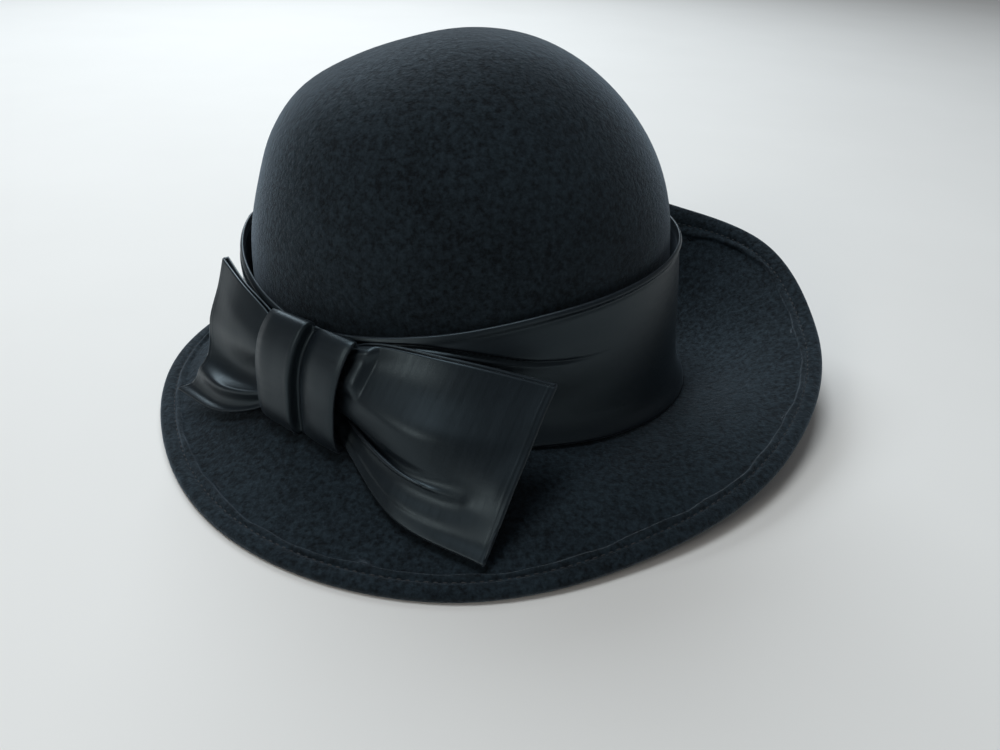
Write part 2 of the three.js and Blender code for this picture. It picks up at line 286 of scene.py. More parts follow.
def range_node(tree, value, low, high, to_low=0.0, to_high=1.0):
    node = tree.nodes.new("ShaderNodeMapRange")
    tree.links.new(value, node.inputs["Value"])
    node.inputs["From Min"].default_value = low
    node.inputs["From Max"].default_value = high
    node.inputs["To Min"].default_value = to_low
    node.inputs["To Max"].default_value = to_high
    return node.outputs["Result"]


# %% Wool fibres
fibres, fibres_in, fibres_out = new_group(
    "wool_fibres",
    [("Vector", "NodeSocketVector", None), ("Fibre scale", "NodeSocketFloat", 900.0)],
    ["Mottle", "Lint", "Height"],
)
at = fibres_in.outputs["Vector"]
fine = noise_node(fibres, at, fibres_in.outputs["Fibre scale"], 4.0, 0.7)
tufts = noise_node(fibres, at, 420.0, 3.0)
clouds = noise_node(fibres, at, 26.0, 2.0)
specks = fibres.nodes.new("ShaderNodeTexVoronoi")
specks.inputs["Scale"].default_value = 75.0
fibres.links.new(at, specks.inputs["Vector"])
chosen = fibres.nodes.new("ShaderNodeSeparateColor")
fibres.links.new(specks.outputs["Color"], chosen.inputs["Color"])
small = math_node(fibres, "LESS_THAN", specks.outputs["Distance"], 0.034)
rare = math_node(fibres, "GREATER_THAN", chosen.outputs[0], 0.93)
mottle = math_node(fibres, "ADD", math_node(fibres, "MULTIPLY", fine, 0.35), math_node(fibres, "MULTIPLY", tufts, 0.5))
mottle = math_node(fibres, "ADD", mottle, math_node(fibres, "MULTIPLY", clouds, 0.15))
fibres.links.new(range_node(fibres, mottle, 0.40, 0.62), fibres_out.inputs["Mottle"])
fibres.links.new(math_node(fibres, "MULTIPLY", small, rare), fibres_out.inputs["Lint"])
height = math_node(fibres, "ADD", math_node(fibres, "MULTIPLY", fine, 0.6), math_node(fibres, "MULTIPLY", tufts, 0.6))
fibres.links.new(height, fibres_out.inputs["Height"])
print("group made:", fibres.name)

# %% Satin weave
weave, weave_in, weave_out = new_group(
    "satin_weave",
    [("Vector", "NodeSocketVector", None), ("Threads per metre", "NodeSocketFloat", 4200.0)],
    ["Streak", "Height"],
)
parts = weave.nodes.new("ShaderNodeSeparateXYZ")
weave.links.new(weave_in.outputs["Vector"], parts.inputs[0])
floats = weave.nodes.new("ShaderNodeCombineXYZ")
weave.links.new(math_node(weave, "MULTIPLY", parts.outputs[0], 0.06), floats.inputs[0])
weave.links.new(parts.outputs[1], floats.inputs[1])
streak = noise_node(weave, floats.outputs[0], weave_in.outputs["Threads per metre"], 2.0, 0.6)
slub = noise_node(weave, floats.outputs[0], 420.0, 2.0)
weave.links.new(
    range_node(weave, math_node(weave, "ADD", math_node(weave, "MULTIPLY", streak, 0.5),
                                math_node(weave, "MULTIPLY", slub, 0.5)), 0.35, 0.65),
    weave_out.inputs["Streak"],
)
weave.links.new(streak, weave_out.inputs["Height"])
print("group made:", weave.name)

# %% Painted edge highlight
edges, edges_in, edges_out = new_group(
    "painted_edge_highlight",
    [("Vector", "NodeSocketVector", None), ("Start", "NodeSocketFloat", 0.52), ("End", "NodeSocketFloat", 0.6)],
    ["Wear"],
)
# Painted highlight: Pointiness picks out convex edges and fold crests, and this mask makes them lighter where light
# would catch them.
bent = edges.nodes.new("ShaderNodeNewGeometry")
sharp = edges.nodes.new("ShaderNodeMapRange")
edges.links.new(bent.outputs["Pointiness"], sharp.inputs["Value"])
edges.links.new(edges_in.outputs["Start"], sharp.inputs["From Min"])
edges.links.new(edges_in.outputs["End"], sharp.inputs["From Max"])
patchy = noise_node(edges, edges_in.outputs["Vector"], 140.0, 3.0)
edge_glint = math_node(edges, "MULTIPLY", sharp.outputs["Result"], range_node(edges, patchy, 0.3, 0.7, 0.35, 1.0))
edges.links.new(edge_glint, edges_out.inputs["Wear"])
print("group made:", edges.name)

# %% [markdown]
# ## Black wool felt
# Blocked wool felt is a mat of fine fibres. Seen close it is mottled, charcoal on black with a cold tint, and
# at a glancing angle its nap catches light as a soft pale rim. The mottle drives colour and roughness, the
# fibres drive a fine bump, sheen gives the nap, and a very few pale specks of lint lie on it.

# %% Felt material
def colour_mix(tree, mask, low, high):
    """One colour fading to another with a mask. Either colour is four numbers or a socket."""
    node = tree.nodes.new("ShaderNodeMix")
    node.data_type = "RGBA"
    tree.links.new(mask, node.inputs["Factor"])
    for label, value in (("A", low), ("B", high)):
        socket = [s for s in node.inputs if s.name == label and s.type == "RGBA"][0]
        if isinstance(value, tuple):
            socket.default_value = value
        else:
            tree.links.new(value, socket)
    return [s for s in node.outputs if s.type == "RGBA"][0]


def new_material(name):
    material = bpy.data.materials.new(name)
    material.use_nodes = True
    tree = material.node_tree
    shader = tree.nodes["Principled BSDF"]
    place = tree.nodes.new("ShaderNodeTexCoord")
    return material, tree, shader, place


def add_group(tree, group, **values):
    node = tree.nodes.new("ShaderNodeGroup")
    node.node_tree = group
    for label, value in values.items():
        socket = node.inputs[label.replace("_", " ")]
        if isinstance(value, (int, float)):
            socket.default_value = value
        else:
            tree.links.new(value, socket)
    return node


def add_bump(tree, shader, height, distance, strength):
    bump = tree.nodes.new("ShaderNodeBump")
    bump.inputs["Distance"].default_value = distance
    bump.inputs["Strength"].default_value = strength
    tree.links.new(height, bump.inputs["Height"])
    tree.links.new(bump.outputs["Normal"], shader.inputs["Normal"])


felt, felt_tree, felt_shader, felt_place = new_material("black_wool_felt")
wool = add_group(felt_tree, fibres, Vector=felt_place.outputs["Object"])
edge_highlight = add_group(felt_tree, edges, Vector=felt_place.outputs["Object"])
nap = colour_mix(felt_tree, wool.outputs["Mottle"], (0.0010, 0.0030, 0.0048, 1), (0.0120, 0.0225, 0.0310, 1))
# Painted highlight: sharp edges of the felt, such as the rolled rim of the brim, are mixed lighter where light catches
# them.
nap = colour_mix(felt_tree, math_node(felt_tree, "MULTIPLY", edge_highlight.outputs["Wear"], 0.5), nap, (0.03, 0.034, 0.038, 1))
nap = colour_mix(felt_tree, wool.outputs["Lint"], nap, (0.32, 0.33, 0.34, 1))
felt_tree.links.new(nap, felt_shader.inputs["Base Color"])
felt_tree.links.new(range_node(felt_tree, wool.outputs["Mottle"], 0, 1, 0.98, 0.82), felt_shader.inputs["Roughness"])
felt_shader.inputs["Specular IOR Level"].default_value = 0.22
felt_shader.inputs["Sheen Weight"].default_value = 0.42
felt_shader.inputs["Sheen Roughness"].default_value = 0.38
felt_shader.inputs["Sheen Tint"].default_value = (0.62, 0.74, 0.86, 1)
add_bump(felt_tree, felt_shader, wool.outputs["Height"], 0.0007, 0.8)
print("felt nap reads from", felt_place.bl_label)

# %% [markdown]
# ## Black satin
# Satin shows the long floats of its face: a broad, soft, slightly cold highlight that runs along each fold,
# with hardly visible streaks. The cloth's own UV map carries the streaks, so they turn with each wing.

# %% Satin material
satin, satin_tree, satin_shader, satin_place = new_material("black_satin")
face = add_group(satin_tree, weave, Vector=satin_place.outputs["UV"])
fold_highlight = add_group(satin_tree, edges, Vector=satin_place.outputs["Object"])
gloss = colour_mix(satin_tree, face.outputs["Streak"], (0.0012, 0.0022, 0.0038, 1), (0.0034, 0.0052, 0.0080, 1))
# Painted highlight: fold crests and sharp edges of the satin are mixed lighter and bluer where light runs along them.
gloss = colour_mix(satin_tree, math_node(satin_tree, "MULTIPLY", fold_highlight.outputs["Wear"], 0.45), gloss,
                   (0.034, 0.038, 0.046, 1))
satin_tree.links.new(gloss, satin_shader.inputs["Base Color"])
satin_tree.links.new(range_node(satin_tree, face.outputs["Streak"], 0, 1, 0.36, 0.46),
                     satin_shader.inputs["Roughness"])
satin_shader.inputs["Specular IOR Level"].default_value = 0.55
satin_shader.inputs["Specular Tint"].default_value = (0.70, 0.90, 1.0, 1)
satin_shader.inputs["Sheen Weight"].default_value = 0.10
satin_shader.inputs["Sheen Roughness"].default_value = 0.3
satin_shader.inputs["Sheen Tint"].default_value = (0.6, 0.75, 0.9, 1)
add_bump(satin_tree, satin_shader, face.outputs["Height"], 0.00006, 0.5)

# %% Thread material
thread, thread_tree, thread_shader, thread_place = new_material("black_thread")
twist = noise_node(thread_tree, thread_place.outputs["Object"], 1500.0, 2.0)
dyed = colour_mix(thread_tree, twist, (0.008, 0.009, 0.011, 1), (0.030, 0.033, 0.038, 1))
thread_tree.links.new(dyed, thread_shader.inputs["Base Color"])
thread_tree.links.new(range_node(thread_tree, twist, 0, 1, 0.5, 0.75), thread_shader.inputs["Roughness"])
add_bump(thread_tree, thread_shader, twist, 0.0001, 0.5)
print("materials:", [m.name for m in bpy.data.materials if m.users])

# %% [markdown]
# ## The blocked felt body
# The real body is one piece of felt, steamed over a block: an oval crown, a small round at its foot, and a
# brim that lies low at the front and left and turns up at the back right. Its sections are few, so a mesh
# grown from tables follows the block better than sculpting would. The rows run from the tip of the crown to
# the rim, and back inside.

# %% Felt sizes
crown_axis = np.array([-14.127, 14.018, 0])
FELT_WALL = 2.3
CROWN_TOP = 167.0
ROOT_CENTRE_HEIGHT = 11.5
ROOT_TILT = 9.6
ROOT_TILT_BEARING = 45.0
ROOT_FILLET = 6.0
FLOOR_PRESS = 0.6
AROUND = 300

crown_sections = table(
    "rise half_length half_width lean",
    [
        (0.0, 104, 86, 0),
        (0.2, 103.5, 85, -2.5),
        (0.4, 101, 82.5, -3.5),
        (0.57, 95.5, 77.5, -2.5),
        (0.71, 86.5, 69.5, -3),
        (0.83, 71.5, 57, -3),
        (0.92, 50, 41, 0),
        (0.975, 27, 24, 3),
        (1.0, 0, 0, 4),
    ],
)
brim_sections = table(
    "bearing reach lift root_slope rim_slope",
    [
        (-180, 153.5, 0, -16, -4),
        (-150, 156, 0, -16, -3),
        (-120, 162.5, 0, -12, -8),
        (-90, 164.5, 0, -10, -12),
        (-60, 161.5, 3, -10, -22),
        (-30, 170, 12, -6, -16),
        (0, 181.5, 29, -9, 12),
        (20, 177, 50, -13, 28),
        (40, 151, 58, -18, 46),
        (70, 138, 60, -20, 52),
        (100, 134, 50, -18, 46),
        (130, 138, 22, -12, 20),
        (155, 144, 4, -14, -2),
    ],
)
around = -math.pi + 2 * math.pi * np.arange(AROUND) / AROUND


def root_height(bearing):
    return ROOT_CENTRE_HEIGHT - ROOT_TILT * np.cos(np.radians(bearing - ROOT_TILT_BEARING))


def crown_points(rise):
    """One row of points round the outside of the crown, at a share of its rise."""
    stops = 1 - np.sqrt(1 - crown_sections["rise"])
    at = 1 - np.sqrt(np.clip(1 - rise, 0, 1))
    length, width, lean = (follow(stops, crown_sections[c], at) for c in ("half_length", "half_width", "lean"))
    base = root_height(np.degrees(around))
    height = base + (CROWN_TOP - base) * rise
    return np.stack([length * np.cos(around) + lean, width * np.sin(around), height], axis=-1)


foot_length, foot_width = crown_sections["half_length"][0], crown_sections["half_width"][0]
outward = np.stack([np.cos(around) / foot_length, np.sin(around) / foot_width, np.zeros(AROUND)], axis=-1)
outward = unit(outward)

# %% Brim rows
brim_start = crown_points(0.0) + outward * ROOT_FILLET
brim_bearing = np.degrees(np.arctan2(brim_start[:, 1], brim_start[:, 0]))
brim_away = unit(brim_start * (1, 1, 0))
brim_run = follow_round(brim_sections, "reach", brim_bearing) - np.hypot(brim_start[:, 0], brim_start[:, 1])


def brim_points(share):
    """One row round the brim: share 0 at the fillet, 1 at the rim."""
    rim = follow_round(brim_sections, "lift", brim_bearing).clip(0) + FELT_WALL - FLOOR_PRESS
    root_fall = np.tan(np.radians(follow_round(brim_sections, "root_slope", brim_bearing))) * brim_run
    rim_fall = np.tan(np.radians(follow_round(brim_sections, "rim_slope", brim_bearing))) * brim_run
    straight = rim - brim_start[:, 2]
    bend = share * (1 - share) * ((1 - share) * (root_fall - straight) - share * (rim_fall - straight))
    row = brim_start + brim_away * (brim_run * share)[:, None]
    row[:, 2] = brim_start[:, 2] + straight * share + bend
    return row


# %% [markdown]
# ## The turned hem
# The brim's edge is turned over once and stitched down about seven millimetres in. The stitches pull a
# shallow channel, and beyond them the cut edge of the felt stands up a little and wanders. A profile table,
# inset from the rim against rise above the brim, gives all of that, and a slow wobble moves the cut edge.

# %% Hem profile
hem_profile = table(
    "inset rise",
    [
        (0.0, -0.25),
        (0.12, 0.65),
        (0.4, 1.15),
        (0.9, 1.6),
        (1.8, 1.95),
        (3.4, 2.0),
        (5.2, 1.85),
        (6.2, 1.35),
        (6.8, 0.85),
        (7.4, 1.15),
        (8.2, 1.65),
        (9.0, 1.75),
        (9.6, 1.35),
        (10.1, 0.3),
        (10.8, 0.0),
    ],
)
under_profile = table(
    "inset drop",
    [(0.0, 0.25), (0.12, 1.1), (0.4, 1.6), (0.9, 2.0), (1.8, 2.25), (3.4, FELT_WALL), (10.8, FELT_WALL)],
)
wander = 0.42 * np.sin(11 * around + 1.0) + 0.3 * np.sin(29 * around + 2.0) + 0.2 * np.sin(53 * around)
lip = 1 + 0.16 * np.sin(17 * around + 0.4) + 0.12 * np.sin(41 * around + 1.7)

# %% Felt body
rows, rises, drops, stitch_row = [], [], [], 0
fillet_rise = ROOT_FILLET / CROWN_TOP
for along in np.linspace(0, 1, 46):
    rows.append(crown_points(1 - (1 - fillet_rise) * along**2))
for turn in np.linspace(0, math.pi / 2, 9)[1:-1]:
    row = crown_points(ROOT_FILLET * (1 - math.sin(turn)) / CROWN_TOP)
    rows.append(row + outward * ROOT_FILLET * (1 - math.cos(turn)))
hem_inner = 1 - 11.4 / brim_run
for share in np.linspace(0, 1, 32):
    rows.append(brim_points(share * hem_inner))
plain_rows = len(rows)
insets = [10.8, 10.4, 10.1, 9.8, 9.5, 9.1, 8.6, 8.0, 7.4, 7.05, 6.8, 6.5, 6.1, 5.4, 4.4, 3.2, 2.2, 1.4, 0.9,
          0.55, 0.3, 0.12, 0.0]
for inset in insets:
    rows.append(brim_points(1 - (inset + wander * ease(7.4, 9.4, inset)) / brim_run))
base = np.array(rows)
normals = grid_normals(base, wrap=True)
normals[0] = (0, 0, 1)
rise = np.zeros(base.shape[:2])
drop = np.full(base.shape[:2], FELT_WALL)
for k, inset in enumerate(insets):
    height = follow(hem_profile["inset"], hem_profile["rise"], inset)
    rise[plain_rows + k] = height * np.where(inset > 7.2, lip, 1.0)
    drop[plain_rows + k] = follow(under_profile["inset"], under_profile["drop"], inset)
dents = (
    0.35 * np.sin(base[..., 0] / 17 + 0.6) * np.sin(base[..., 2] / 23 + 1.1)
    + 0.3 * np.sin(base[..., 1] / 13 + 2.0) * np.cos(base[..., 0] / 29)
)
inland = ease(plain_rows + 2, plain_rows - 10, np.arange(len(rows)))[:, None]
rise += dents * inland * ease(0, 10, np.arange(len(rows)))[:, None]
over = base + normals * rise[..., None]
under = base - normals * drop[..., None]
under[..., 2] = under[..., 2].clip(0)
print("felt rows:", len(rows), "of which in the hem:", len(insets))

# %% Felt mesh
profile = np.concatenate([over[1:], under[:-1][::-1][:-1]])
tip_over, tip_under = over[0, 0], under[0, 0]
count = len(profile)
points = list(profile.reshape(-1, 3)) + [tip_over, tip_under]
faces = []
for j in range(AROUND):
    n = (j + 1) % AROUND
    faces.append((count * AROUND, j, n))
    for i in range(count - 1):
        a, b = i * AROUND + j, i * AROUND + n
        faces.append((a, a + AROUND, b + AROUND, b))
    faces.append(((count - 1) * AROUND + n, (count - 1) * AROUND + j, count * AROUND + 1))
flat_uv = [(p[0] * MM, p[1] * MM) for p in points]
felt_body = closed_piece("felt_hat_body", points, faces, flat_uv, felt)

# %% [markdown]
# ## Stitches along the hem
# One row of small machine stitches holds the hem. They repeat along a path, which is what Geometry Nodes are
# good at: a path is sampled at the stitch pitch, a short bead of thread goes on each sample, and a little
# seeded variation keeps the row from looking ruled.

# %% Stitch path
channel = plain_rows + insets.index(6.8)
path_points = (over[channel] + normals[channel] * 0.12 + crown_axis) * MM
path_mesh = bpy.data.meshes.new("hem_stitches")
loop_edges = [(k, (k + 1) % AROUND) for k in range(AROUND)]
path_mesh.from_pydata(path_points.tolist(), loop_edges, [])
stitch_path = bpy.data.objects.new("hem_stitch_path", path_mesh)
bpy.context.collection.objects.link(stitch_path)

# %% Stitch tree
stitcher = bpy.data.node_groups.new("stitch_row", "GeometryNodeTree")
face_of = stitcher.interface
face_of.new_socket("Geometry", in_out="OUTPUT", socket_type="NodeSocketGeometry")
face_of.new_socket("Path", in_out="INPUT", socket_type="NodeSocketGeometry")
for label, value in (("Pitch", 0.0034), ("Stitch length", 0.0021), ("Thread radius", 0.00028)):
    socket = face_of.new_socket(label, in_out="INPUT", socket_type="NodeSocketFloat")
    socket.default_value = value
face_of.new_socket("Seed", in_out="INPUT", socket_type="NodeSocketInt").default_value = 7
face_of.new_socket("Thread", in_out="INPUT", socket_type="NodeSocketMaterial")


def geo(kind, **inputs):
    """A geometry node with its inputs linked or set by name."""
    node = stitcher.nodes.new(kind)
    for label, value in inputs.items():
        socket = node.inputs[label.replace("_", " ")]
        if isinstance(value, bpy.types.NodeSocket):
            stitcher.links.new(value, socket)
        else:
            socket.default_value = value
    return node


entry = stitcher.nodes.new("NodeGroupInput").outputs
line = geo("GeometryNodeMeshToCurve", Mesh=entry["Path"])
sampled = geo("GeometryNodeResampleCurve", Curve=line.outputs[0])
if hasattr(sampled, "mode"):
    sampled.mode = "LENGTH"
stitcher.links.new(entry["Pitch"], sampled.inputs["Length"])
heading = geo("GeometryNodeInputTangent")
turn_to = geo("FunctionNodeAlignRotationToVector", Vector=heading.outputs[0])
turn_to.axis = "X"
bead = geo("GeometryNodeMeshUVSphere", Segments=8, Rings=5, Radius=0.5)
half_size = geo("ShaderNodeCombineXYZ", X=entry["Stitch length"])
for socket in (half_size.inputs["Y"], half_size.inputs["Z"]):
    double = geo("ShaderNodeMath")
    double.operation = "MULTIPLY"
    stitcher.links.new(entry["Thread radius"], double.inputs[0])
    double.inputs[1].default_value = 2.0
    stitcher.links.new(double.outputs[0], socket)
vary = geo("FunctionNodeRandomValue", Seed=entry["Seed"])
vary.data_type = "FLOAT"
vary.inputs[2].default_value = 0.85
vary.inputs[3].default_value = 1.15
scaled = geo("ShaderNodeVectorMath")
scaled.operation = "SCALE"
stitcher.links.new(half_size.outputs[0], scaled.inputs[0])
stitcher.links.new(vary.outputs[1], scaled.inputs["Scale"])
placed = geo("GeometryNodeInstanceOnPoints", Points=sampled.outputs[0], Instance=bead.outputs["Mesh"],
             Rotation=turn_to.outputs[0], Scale=scaled.outputs[0])
solid = geo("GeometryNodeRealizeInstances", Geometry=placed.outputs[0])
smooth = geo("GeometryNodeSetShadeSmooth", Geometry=solid.outputs[0])
dressed = geo("GeometryNodeSetMaterial", Geometry=smooth.outputs[0], Material=entry["Thread"])
stitcher.links.new(dressed.outputs[0], stitcher.nodes.new("NodeGroupOutput").inputs["Geometry"])
print("stitch tree inputs:", [s.name for s in face_of.items_tree if s.in_out == "INPUT"])

# %% Stitches
sewing = stitch_path.modifiers.new("stitch_row", "NODES")
sewing.node_group = stitcher
keys = {s.name: s.identifier for s in face_of.items_tree if s.in_out == "INPUT"}
sewing[keys["Pitch"]] = 0.0034
sewing[keys["Stitch length"]] = 0.0021
sewing[keys["Thread radius"]] = 0.00028
sewing[keys["Seed"]] = 7
sewing[keys["Thread"]] = thread
bpy.context.view_layer.update()
shaped = stitch_path.evaluated_get(bpy.context.evaluated_depsgraph_get())
stitch_mesh = bpy.data.meshes.new_from_object(shaped)
stitch_path.modifiers.clear()
bpy.data.objects.remove(stitch_path)
hem_stitches = bpy.data.objects.new("hem_stitches", stitch_mesh)
bpy.context.collection.objects.link(hem_stitches)
print("stitch faces:", len(stitch_mesh.polygons))

# %% [markdown]
# ## The satin band
# A wide ribbon wraps the crown. Its upper edge is turned in and stands a little off the felt, its foot
# spreads over the root of the brim, and towards the bow it gathers: the ribbon gets lower and folds into one
# pleat that runs out from the knot and dies away. The pleat is a groove with a soft lip under it, set by
# bearing in a table.

# %% Band sizes
BAND_WALL = 1.2
BAND_LIFT = 1.4
band_tops = table(
    "bearing height",
    [(-180, 78), (-155, 70), (-125, 60.5), (-95, 66), (-60, 77), (-15, 83), (45, 82), (90, 80), (135, 79)],
)
band_section = table(
    "share off",
    [(0, 10.8), (0.03, 10.1), (0.08, 8.0), (0.16, 6.2), (0.3, 5.2), (0.6, 4.6), (0.9, 4.2), (1, 4.6)],
)
band_pleat = table(
    "bearing below depth",
    [
        (-210, 4.0, 0.0),
        (-185, 4.0, 0.7),
        (-160, 4.0, 1.1),
        (-140, 4.0, 1.2),
        (-126, 3.0, 1.2),
        (-110, 2.6, 1.4),
        (-100, 3.0, 1.8),
        (-90, 6.2, 2.6),
        (-80, 12.5, 2.6),
        (-70, 19.8, 1.4),
        (-60, 24.0, 0.3),
        (-50, 26.0, 0.0),
    ],
)

# %% Band grid
band_bearing = np.degrees(around)
band_base = root_height(band_bearing)
band_top = follow_round(band_tops, "height", band_bearing)
pleat_bearing = (band_bearing + 210) % 360 - 210
within = pleat_bearing.clip(-210, -50)
pleat_below = follow(band_pleat["bearing"], band_pleat["below"], within)
pleat_depth = follow(band_pleat["bearing"], band_pleat["depth"], within).clip(0)
PLEATED = 26.0
steps = np.concatenate([np.linspace(0, PLEATED, 63), np.linspace(PLEATED, 100, 35)[1:]])[:, None]
foot = (band_top - band_base - BAND_LIFT)[None, :]
below = np.where(steps <= PLEATED, steps, PLEATED + (foot - PLEATED) * (steps - PLEATED) / (100 - PLEATED))
share = 1 - below / foot
height = (band_base + BAND_LIFT)[None, :] + foot * share
climb = (height - band_base) / (CROWN_TOP - band_base)
stops = 1 - np.sqrt(1 - crown_sections["rise"])
at = 1 - np.sqrt(1 - climb)
length, width, lean = (follow(stops, crown_sections[c], at) for c in ("half_length", "half_width", "lean"))
wall = np.stack([length * np.cos(around) + lean, width * np.sin(around), height], axis=-1)
off = follow(band_section["share"], band_section["off"], share)
from_pleat = below - pleat_below
strip = np.where(from_pleat < 0, (below / pleat_below.clip(1)).clip(0, 1) ** 1.4 * 1.5 - 0.5, 0)
under_lip = 1.0 * np.exp(-from_pleat.clip(0) / 7.0) * (from_pleat >= 0)
crease = -1.5 * np.exp(-((from_pleat / 0.75) ** 2))
off = off + pleat_depth * (strip + under_lip + crease)
rolled = 0.7 * np.exp(-(((below - 1.4) / 1.1) ** 2)) - 0.35 * np.exp(-(((below - 3.6) / 1.0) ** 2))
off = off + rolled * (1 - 0.6 * ease(0, 1.5, pleat_depth))
near_bow = ease(-40, -100, pleat_bearing) * ease(-230, -150, pleat_bearing)
ripple = 0.35 * np.sin(below / 3.1 + pleat_bearing / 34) * near_bow * ease(12, 22, below)
slack = 0.5 * np.sin(2.2 * around + 0.5) * np.sin(share * 2.6) + 0.35 * np.sin(5 * around + 1.0) * share * (1 - share) * 2
off = off + ripple + slack
band_grid = wall + outward[None, :, :] * off[..., None]
satin_band = cloth_piece("satin_hat_band", band_grid, 0.0, BAND_WALL, True, satin)

# %% [markdown]
# ## The bow's wings
# Each wing is ribbon that runs out from the knot, folds over at the outer edge and comes back behind itself,
# so its top and bottom edges show two layers. A fold table holds where each fold leaves the knot, passes mid
# length and meets the outer edge. Folded ribbon is stiff and thin, and cloth simulation would lose these
# chosen folds, so they are given one by one and softened by the smooth lines between them.

# %% Bow place
BOW_ANCHOR = np.array([-58, -71.4, 0])
BOW_TURN = math.radians(-32.4)
bow_along = np.array([math.cos(BOW_TURN), math.sin(BOW_TURN), 0])
bow_out = np.array([math.sin(BOW_TURN), -math.cos(BOW_TURN), 0])
WING_WALL = 1.0
FOLD_DEPTH = 2.2
GATHER_ALONG, GATHER_SHARE, GATHER_OUT, GATHER_UP = 12, 0.55, 12, 41


def on_bow(along, out, up):
    along, out, up = (np.asarray(x, dtype=float)[..., None] for x in (along, out, up))
    return BOW_ANCHOR + bow_along * along + bow_out * out + np.array([0, 0, 1]) * up


# %% Wing folds
# Each row: fold, then along, out and up at the knot, at mid length and at the outer edge, then how far out
# the back layer lies at the knot and at mid length.
right_folds = [
    ("top edge", 27, 4.6, 62, 63, -6, 63, 99, -26, 55, 2.2, -8.4),
    ("recess", 26, 6.5, 56, 63, 2, 54, 100, -15.5, 47.5, 2.2, -4),
    ("bulge", 25, 15, 45, 64, 16, 42, 101.5, -4, 38, 3, 5),
    ("bulge foot", 25, 17, 36, 64, 22, 32, 103, 8, 29, 4, 12),
    ("valley", 26, 11, 28, 63, 20, 24, 104, 17, 20.5, 6, 15.5),
    ("lower ridge", 26, 17, 23.5, 65, 31, 18, 105, 24, 14.5, 13, 26),
    ("bottom edge", 26.5, 19, 20.8, 66, 34, 13, 105.5, 30, 9, 16.7, 31.7),
]
left_folds = [
    ("top edge", -23, 7.8, 60, -45.5, 2.4, 66, -70.5, -7.5, 68, 5.9, 0.9),
    ("upper", -23, 11.5, 54, -45, 7.5, 57, -68.5, -1.5, 58, 6.6, 1.9),
    ("middle", -22.5, 15, 45, -43.5, 13, 46, -66.5, 7.5, 45, 7, 3.6),
    ("valley", -21.5, 14.5, 35, -41, 15, 31, -64.5, 12.5, 33, 8, 7),
    ("lower", -20.5, 17, 28, -41, 19.5, 22.5, -64, 17, 24, 10.5, 12.5),
    ("flare", -20.5, 20, 24, -41, 25, 17.5, -68, 22, 16, 15, 20),
    ("bottom edge", -20.5, 21.8, 21.8, -41.3, 29, 15, -74.5, 26.5, 11.8, 19.4, 26.6),
]


# %% Wing maker
def gathered(along, out, up, direction):
    return (direction * GATHER_ALONG, GATHER_OUT + (out - GATHER_OUT) * GATHER_SHARE,
            GATHER_UP + (up - GATHER_UP) * GATHER_SHARE)


def wing_grid(folds, direction, across, along):
    """Points of one wing's ribbon: from the knot out to the fold, then back behind."""
    lines = []
    for pick in (
        lambda r: gathered(r[1], r[2], r[3], direction),
        lambda r: r[1:4],
        lambda r: r[4:7],
        lambda r: r[7:10],
        lambda r: (r[7] - direction * WING_WALL, r[8] - FOLD_DEPTH, r[9]),
        lambda r: (r[4], r[11], r[6]),
        lambda r: (r[1], r[10], r[3]),
        lambda r: gathered(r[1], r[10], r[3], direction),
    ):
        lines.append(through([on_bow(*pick(row)) for row in folds], across))
    lines = np.array(lines)
    front = np.stack([through(lines[:4, j], along) for j in range(across)], axis=1)
    back = np.stack([through(lines[4:, j], 1 - along[::-1]) for j in range(across)], axis=1)
    return np.concatenate([front, back])


# %% [markdown]
# Stiff ribbon that is held by a knot bends in a few broad folds, and dips in a straight-edged hollow where
# the knot pulls it down. A pressed fold keeps a thin line beside the outer edge. All three are small moves
# along the cloth's own normal, placed by share of length and share of width.

# %% Wings
def with_folds(grid, along, folds, press, side, hollow):
    """Adds folds and a hollow beside the knot to the front layer, and a pressed line by the outer edge."""
    normals = grid_normals(grid, wrap=False) * side
    rows, columns, _ = grid.shape
    v = np.linspace(0, 1, columns)[None, :]
    u = along[:, None]
    front = len(along)
    move = np.zeros((rows, columns))
    for u_from, u_to, v_from, v_to, width, depth in folds:
        share = ((u - u_from) / (u_to - u_from)).clip(0, 1)
        line = v_from + (v_to - v_from) * share
        swell = np.sin(math.pi * share) ** 0.8
        move[:front] += depth * np.exp(-(((v - line) / width) ** 2)) * swell
    if hollow:
        middle, width, near, far, depth = hollow
        move[:front] += depth * np.exp(-(((v - middle) / width) ** 8)) * (1 - ease(near, far, u))
    from_edge = np.linalg.norm(grid[:front] - grid[front - 1][None], axis=-1)
    move[:front] += -press * np.exp(-(((from_edge - 2.6) / 0.35) ** 2))
    return grid + normals * move[..., None]


# A wing's length in shares: the knot's edge is near 0.33, mid length 0.67, and the outer edge 1.
ALONG = np.concatenate([np.linspace(0, 0.955, 66), np.linspace(0.955, 1, 14)[1:]])
right_grid = wing_grid(right_folds, 1, 96, ALONG)
right_set = [
    # from, to, at the start across, at the end across, width, depth
    (0.36, 0.95, 0.35, 0.33, 0.050, -0.7),
    (0.30, 0.95, 0.47, 0.50, 0.110, 1.8),
    (0.20, 0.88, 0.700, 0.650, 0.060, -4.8),
    (0.25, 1.15, 0.87, 0.85, 0.110, 1.8),
]
right_grid = with_folds(right_grid, ALONG, right_set, 0.10, 1, (0.165, 0.155, 0.392, 0.412, -3.8))
bow_right = cloth_piece("bow_right_wing", right_grid, WING_WALL / 2, WING_WALL / 2, False, satin)

left_grid = wing_grid(left_folds, -1, 84, ALONG)
left_set = [
    (0.32, 0.98, 0.24, 0.18, 0.070, -0.4),
    (0.28, 1.05, 0.48, 0.50, 0.110, 1.6),
    (0.20, 1.08, 0.72, 0.69, 0.075, -5.2),
    (0.35, 1.20, 0.90, 0.90, 0.060, 0.9),
]
left_grid = with_folds(left_grid, ALONG, left_set, 0.06, -1, None)
bow_left = cloth_piece("bow_left_wing", left_grid, WING_WALL / 2, WING_WALL / 2, False, satin)

